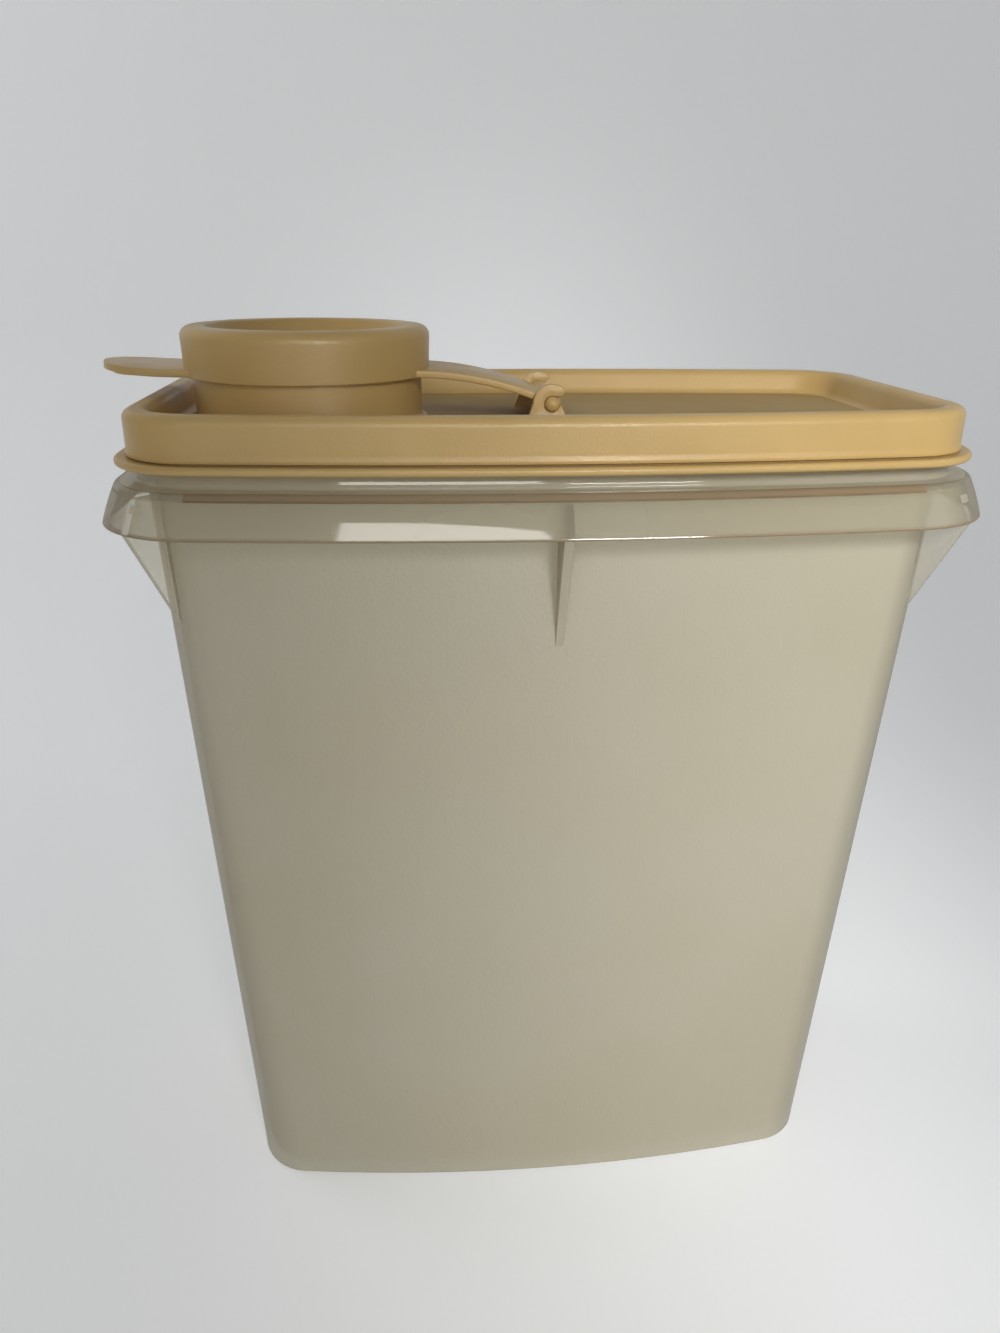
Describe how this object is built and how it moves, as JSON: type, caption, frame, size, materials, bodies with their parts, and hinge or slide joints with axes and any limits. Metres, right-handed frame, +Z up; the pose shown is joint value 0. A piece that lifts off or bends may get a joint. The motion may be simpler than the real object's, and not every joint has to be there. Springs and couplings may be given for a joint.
{
  "type": "cereal container",
  "caption": "Tall translucent cereal container with tapered walls, a flared collar, a press-on lid with a sunken panel, and a round pouring spout under a flip cap.",
  "frame": {"origin": "centre of the container's flat base, at the level it stands on", "axes": "+Z up, +X along the long sides from the spout end to the plain end, +Y from the front to the back"},
  "size_m": [0.2507, 0.1366, 0.2848],
  "materials": {
    "container": "milky translucent polyethylene, finely matt on the walls and glossy on the collar",
    "lid": "satin harvest-gold plastic",
    "flip_cap": "satin harvest-gold plastic"
  },
  "bodies": {
    "container": {"container": "container"},
    "lid": {"lid": "lid"},
    "flip_cap": {"flip_cap": "flip_cap"}
  },
  "joints": [
    {"name": "lid_lift", "type": "slide", "parent": "container", "child": "lid", "axis": [0, 0, 1], "range_m": [0, 0.05]},
    {"name": "cap_hinge", "type": "hinge", "parent": "lid", "child": "flip_cap", "pos_m": [0.00142, 0, 0.264], "axis": [0, 1, 0], "range_deg": [0, 155]}
  ]
}
